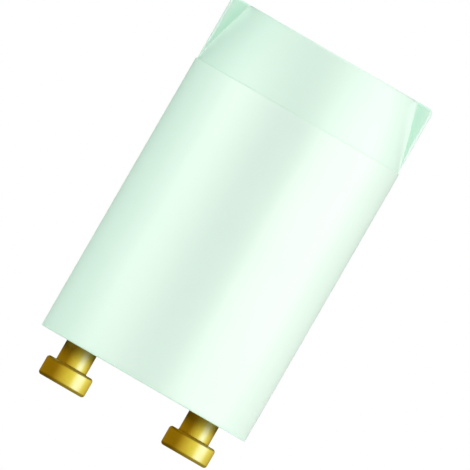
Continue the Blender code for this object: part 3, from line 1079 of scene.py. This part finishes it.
@dataclass
class Innards:
    """The glow switch, the capacitor and their leads, which the housing hides. They keep their solids."""

    glass: BlownGlass = BlownGlass("blown_glass")
    strip: BareMetal = BareMetal(
        "rolled_bimetal", (0.60, 0.57, 0.52), (0.48, 0.44, 0.38), 0.34, mark_stretch=(1.0, 1.0, 0.05)
    )
    wire: BareMetal = BareMetal(
        "drawn_nickel", (0.70, 0.68, 0.63), (0.56, 0.54, 0.50), 0.3, mark_stretch=(1.0, 1.0, 0.1)
    )
    solder: BareMetal = BareMetal(
        "tinned_solder", (0.78, 0.79, 0.80), (0.60, 0.61, 0.63), 0.28, marks_per_metre=900
    )
    resin: DippedResin = DippedResin("dipped_resin")

    def build(self) -> None:
        """Finishes each carried-over node."""
        leads = [f"{piece}_lead_{side.word}" for piece in ("bulb", "capacitor") for side in Side]
        redressed(["glow_bulb_envelope", "glow_bulb_stem"], self.glass)
        redressed(["bimetal_strip"], self.strip)
        redressed(["fixed_electrode", *leads], self.wire)
        redressed(["solder_left", "solder_right"], self.solder)
        redressed(["capacitor_body"], self.resin)


@dataclass(frozen=True)
class SoftBox:
    """A flat lamp that stands round the starter, faces it and is never seen itself.

    Its angles are in degrees: the azimuth from the front towards +X, and the elevation. Its radiance is
    what a white card would show.
    """

    name: str
    azimuth: float
    elevation: float
    radiance: float
    tint: Colour = WHITE
    width: float = 0.70
    height: float = 0.60
    distance: float = 1.0

    def build(self, aim: Vector) -> None:
        """Makes the lamp.

        Args:
            aim: the point that it faces.
        """
        turn, lift = math.radians(self.azimuth), math.radians(self.elevation)
        out = Vector((math.sin(turn) * math.cos(lift), -math.cos(turn) * math.cos(lift), math.sin(lift)))
        lamp = bpy.data.lights.new(self.name, "AREA")
        lamp.shape = "RECTANGLE"
        lamp.size = self.width
        lamp.size_y = self.height
        lamp.energy = self.radiance * math.pi * self.width * self.height
        lamp.color = self.tint
        obj = linked(self.name, lamp)
        obj.location = aim + out * self.distance
        obj.rotation_mode = "QUATERNION"
        obj.rotation_quaternion = out.to_track_quat("Z", "Y")
        obj.visible_camera = False
        obj.visible_glossy = False
        log.info("lamp %s at %.0f degrees", self.name, self.azimuth)


def glowing(obj: Object, graph: Graph, colour: Any, level: Any) -> None:
    """Makes a studio object glow so that only reflections see it.

    Args:
        obj: the object.
        graph: its material's graph.
        colour: the glow's colour.
        level: the glow's strength, where 1 is white.
    """
    graph.finish(graph.node("ShaderNodeEmission", inputs={"Color": colour, "Strength": level}))
    graph.owner.cycles.emission_sampling = "NONE"
    obj.data.materials.append(graph.owner)
    for ray in ("camera", "diffuse", "transmission", "shadow"):
        setattr(obj, f"visible_{ray}", False)


@dataclass(frozen=True)
class ReflectionCard:
    """An upright curved card round the starter that only reflections see, graded from its foot to its top.

    It stands between two azimuths, in degrees from the front towards +X.
    """

    name: str
    start: float
    end: float
    foot_level: float
    top_level: float
    radius: float = 0.30
    low: float = -0.05
    high: float = 0.22
    tint: Colour = (1.12, 0.96, 0.93)
    steps: int = 24

    def build(self) -> None:
        """Makes the card and its glow."""
        turn = (self.end - self.start) / self.steps
        angles = [math.radians(FRONT + self.start + turn * i) for i in range(self.steps + 1)]
        obj = linked(self.name, bpy.data.meshes.new(self.name))
        with shaped(obj.data) as body:
            woven(body, [round_ring(self.radius, z, angles) for z in (self.low, self.high)], closed=False)
        graph = material_graph(self.name)
        level = graph.remapped(graph.height(), 0.0, self.high, self.foot_level, self.top_level)
        glowing(obj, graph, (*self.tint, 1.0), level)


@dataclass(frozen=True)
class PinCollar:
    """A low cup of reflectors round a pin: dark and warm on one side, pale on the other, one bright strip."""

    side: Side
    radius: float = 4.15 * MM
    inner_radius: float = 1.65 * MM
    lid_drop: float = 0.15 * MM
    foot: float = -0.005 * MM
    shade_start: float = 2.6 * MM
    shade_end: float = 3.6 * MM
    lid_level: float = 0.3
    key_azimuth: float = math.radians(48)
    back_azimuth: float = math.radians(183)
    back_start: float = 0.86
    dark_level: float = 0.31
    pale_level: float = 1.05
    pale_start: float = 0.02
    pale_full: float = 0.95
    strip_level: float = 0.8
    strip_start: float = 0.90
    floor_share: float = 0.45
    floor_fade: float = 0.05 * MM
    dark_tint: Colour = (1.0, 0.70, 0.04)
    pale_tint: Colour = (1.0, 1.14, 0.50)
    strip_tint: Colour = (0.76, 1.0, 2.3)
    steps: int = 48

    def build(self) -> None:
        """Makes the cup, with a dark ring of a lid just under the base plate."""
        name = f"{self.side.word}_pin_collar"
        low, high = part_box(f"contact_pin_{self.side.word}")
        lid_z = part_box("base_plate")[0].z - self.lid_drop
        angles = even_angles(self.steps)
        sizes = ((self.radius, self.foot), (self.radius, lid_z), (self.inner_radius, lid_z))
        obj = linked(name, bpy.data.meshes.new(name))
        with shaped(obj.data) as body:
            rows = woven(body, [round_ring(r, z, angles) for r, z in sizes])
            body.faces.new(rows[0])
        obj.location.x = (low.x + high.x) / 2
        graph = material_graph(name)
        height = graph.height()
        facing = self._facing(graph, self.key_azimuth)
        back = graph.remapped(self._facing(graph, self.back_azimuth), self.back_start, 1.0)
        pale = graph.remapped(facing, self.pale_start, self.pale_full).at_least(back)
        strip = graph.remapped(facing, self.strip_start, 1.0)
        shade = graph.remapped(height, self.shade_start, self.shade_end, 1.0, 0.0)
        lid = graph.remapped(height, self.shade_end, lid_z, 0.0, self.lid_level)
        floor = graph.remapped(height, 0.0, self.floor_fade, self.floor_share, 1.0)
        level = self.dark_level + (self.pale_level - self.dark_level) * pale + self.strip_level * strip
        tint = graph.blend(strip, graph.blend(pale, self.dark_tint, self.pale_tint), self.strip_tint)
        glowing(obj, graph, tint, level * shade * floor + lid)

    def _facing(self, graph: Graph, azimuth: float) -> Field:
        """How squarely the cup's wall stands in a direction.

        Args:
            graph: the material's graph.
            azimuth: the direction, from the front towards +X.

        Returns:
            1 on the wall at that azimuth, 0 a quarter turn away and -1 opposite.
        """
        towards = (math.sin(azimuth) / self.radius, -math.cos(azimuth) / self.radius, 0.0)
        settings = {"operation": "DOT_PRODUCT"}
        return graph.node("ShaderNodeVectorMath", settings, {0: graph.place(), 1: towards}, output="Value")


@dataclass(frozen=True)
class TopCard:
    """A plain grey disc close over the flat top, which keeps the side cards' glare out of it."""

    name: str = "top_card"
    radius: float = 8.35 * MM
    rise: float = 0.06 * MM
    level: float = 0.40
    steps: int = 64

    def build(self) -> None:
        """Makes the disc and its glow."""
        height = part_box("housing")[1].z + self.rise
        ring = round_ring(self.radius, height, even_angles(self.steps))
        obj = linked(self.name, bpy.data.meshes.new(self.name))
        with shaped(obj.data) as body:
            body.faces.new([body.verts.new(point) for point in ring])
        graph = material_graph(self.name)
        glowing(obj, graph, (*WHITE, 1.0), self.level)


@dataclass
class Studio:
    """Camera, floor, world, lamps and reflectors."""

    lean: float = math.radians(30)
    view_width: float = 42.27 * MM
    aim: Point = (0.486 * MM, 19.578 * MM)
    camera_distance: float = 0.5
    floor_size: float = 3.0
    floor_drop: float = 0.01 * MM
    floor_colour: Colour = (0.86, 0.87, 0.86)
    floor_glow: float = 0.25
    room_light: float = 0.67
    lamps: Sequence[SoftBox] = (
        SoftBox("left_softbox", -90, 8, 1.87, (0.86, 1.0, 0.92)),
        SoftBox("left_back_softbox", -120, 20, 0.85, (0.30, 1.0, 0.68)),
        SoftBox("front_softbox", 0, 8, 0.87, width=1.05),
        SoftBox("right_softbox", 90, 8, 2.18, (1.10, 1.0, 0.98)),
        SoftBox("right_high_softbox", 80, 45, 1.3, (1.15, 1.0, 1.0), width=0.85),
        SoftBox("right_top_softbox", 90, 70, 1.1, width=0.60),
        SoftBox("top_softbox", 0, 90, 0.8, width=0.60),
    )
    cards: Sequence[ReflectionCard] = (
        ReflectionCard("left_card", -80, -40, 6.0, 1.0),
        ReflectionCard("left_inner_card", -40, -20, 2.9, 1.0),
        ReflectionCard("left_high_flag", -80, -20, 0.1, 0.1, low=0.22, high=0.45),
        ReflectionCard("front_flag", -20, 20, 0.10, 0.10, high=0.45),
        ReflectionCard("right_inner_card", 24, 60, 7.0, 1.2),
        ReflectionCard("right_card", 60, 100, 4.0, 1.4),
        ReflectionCard("back_flag", 100, 260, 0.0, 0.0, high=0.30, steps=64),
    )

    def build(self) -> None:
        """Sets up the studio."""
        self._camera()
        self._floor()
        self._world()
        for lamp in self.lamps:
            lamp.build(Vector((0.0, 0.0, self.aim[1])))
        for card in self.cards:
            card.build()
        for side in Side:
            PinCollar(side).build()
        TopCard().build()
        bpy.context.scene.view_settings.view_transform = "Standard"

    def _camera(self) -> None:
        """A square-on camera that leans as far as the photo shows the starter lean."""
        data = bpy.data.cameras.new("camera")
        data.type = "ORTHO"
        data.ortho_scale = self.view_width
        camera = linked("camera", data)
        right = Vector((math.cos(self.lean), 0.0, math.sin(self.lean)))
        up = Vector((-math.sin(self.lean), 0.0, math.cos(self.lean)))
        back = right.cross(up)
        turn = Matrix((right, up, back)).transposed()
        place = Vector((self.aim[0], 0.0, self.aim[1])) + back * self.camera_distance
        camera.matrix_world = Matrix.Translation(place) @ turn.to_4x4()
        bpy.context.scene.camera = camera

    def _floor(self) -> None:
        """A pale floor that keeps shadows, lifted to white for the camera and for reflections."""
        floor = linked("floor", bpy.data.meshes.new("floor"))
        with shaped(floor.data) as body:
            bmesh.ops.create_grid(body, x_segments=2, y_segments=2, size=self.floor_size / 2)
        floor.location.z = -self.floor_drop
        graph = material_graph("floor_paper")
        paper = graph.node("ShaderNodeBsdfDiffuse", inputs={"Color": (*self.floor_colour, 1.0)})
        white = graph.node("ShaderNodeEmission", inputs={"Strength": 1.0})
        share = self._seen(graph) * self.floor_glow
        graph.finish(graph.node("ShaderNodeMixShader", inputs={0: share, 1: paper, 2: white}))
        floor.data.materials.append(graph.owner)

    @staticmethod
    def _seen(graph: Graph) -> Field:
        """Marks the rays that show the background.

        Args:
            graph: the graph of the floor or the world.

        Returns:
            1 for rays from the camera, a reflection or clear glass, and 0 for all others.
        """
        kinds = ("Is Camera Ray", "Is Glossy Ray", "Is Transmission Ray")
        camera, gloss, glass = (graph.node("ShaderNodeLightPath", output=kind) for kind in kinds)
        return camera.at_least(gloss).at_least(glass)

    def _world(self) -> None:
        """White where it is seen, and a plain level of light for all surfaces."""
        world = bpy.data.worlds.new("white_room")
        bpy.context.scene.world = world
        graph = Graph(world)
        strength = self.room_light + (1.0 - self.room_light) * self._seen(graph)
        shader = graph.node("ShaderNodeBackground", inputs={"Color": (*WHITE, 1.0), "Strength": strength})
        graph.finish(shader, "ShaderNodeOutputWorld")


def main() -> None:
    """Builds the starter piece by piece, then its studio."""
    logging.basicConfig(level=logging.INFO, format="%(name)s: %(message)s")
    Housing().build()
    BasePlate().build()
    for side in Side:
        ContactPin(side).build()
    Innards().build()
    Studio().build()


if __name__ == "__main__":
    main()
